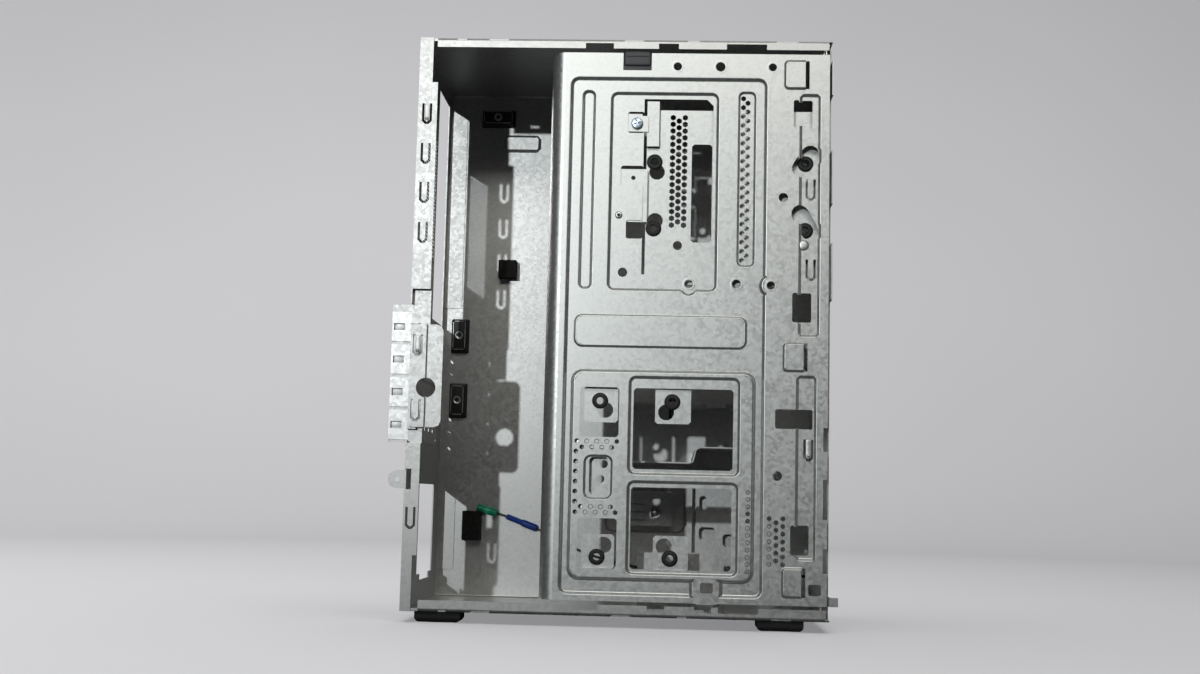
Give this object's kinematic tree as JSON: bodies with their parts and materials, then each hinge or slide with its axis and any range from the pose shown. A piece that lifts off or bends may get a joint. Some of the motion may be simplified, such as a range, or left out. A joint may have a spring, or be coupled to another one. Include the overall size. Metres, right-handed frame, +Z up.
{
  "type": "server chassis",
  "caption": "Bare sheet-steel tower chassis for a small server, side cover off, with a swing-out embossed drive bracket and a hinged card retainer.",
  "frame": {"origin": "middle of the overall box at floor level, under the feet", "axes": "+X to the front of the chassis, -Y out of the open side, +Z up"},
  "size_m": [0.2766, 0.1354, 0.364],
  "materials": {
    "shell_steel": "galvanised",
    "panel_steel": "galvanised",
    "bracket_steel": "galvanised",
    "fastener_zinc": "bright zinc",
    "black_rubber": "matt",
    "grommet_rubber": "matt",
    "latch_plastic": "fine grain",
    "black_foam": "open foam",
    "wire_black": "smooth",
    "sleeve_green": "smooth",
    "sleeve_blue": "smooth"
  },
  "bodies": {
    "chassis": {"main_shell": "shell_steel", "rear_panel": "panel_steel", "front_panel": "panel_steel", "slot_cover_1": "panel_steel", "slot_cover_2": "panel_steel", "slot_cover_3": "panel_steel", "slot_cover_4": "panel_steel", "retainer_pins": "fastener_zinc", "bracket_pivots": "fastener_zinc", "cage_shelf": "panel_steel", "cage_shelf_upper": "panel_steel", "vent_screen": "panel_steel", "supply_clip": "panel_steel", "chassis_rivets": "fastener_zinc", "foam_pad_upper": "black_foam", "foam_pad_lower": "black_foam", "foot_rear_open": "black_rubber", "foot_rear_closed": "black_rubber", "foot_front_open": "black_rubber", "foot_front_closed": "black_rubber", "lead_wire": "wire_black", "lead_sleeve_free": "sleeve_green", "lead_sleeve_middle": "sleeve_blue"},
    "bracket": {"drive_bracket": "bracket_steel", "drive_deck": "bracket_steel", "drive_grommets": "grommet_rubber", "deck_screw": "fastener_zinc", "deck_rivet": "fastener_zinc", "hat_bracket": "bracket_steel"},
    "latch": {"bracket_latch": "latch_plastic"},
    "retainer": {"card_retainer": "bracket_steel"}
  },
  "joints": [
    {"name": "bracket_swing", "type": "hinge", "parent": "chassis", "child": "bracket", "pos_m": [0.1282, -0.06215, 0.1865], "axis": [0, 0, 1], "range_deg": [0, 100]},
    {"name": "latch_slide", "type": "slide", "parent": "bracket", "child": "latch", "axis": [0, 0, -1], "range_m": [0, 0.0025], "stiffness_N_per_m": 400},
    {"name": "retainer_swing", "type": "hinge", "parent": "chassis", "child": "retainer", "pos_m": [-0.123, -0.06435, 0.1498], "axis": [0, 0, -1], "range_deg": [0, 100]}
  ]
}
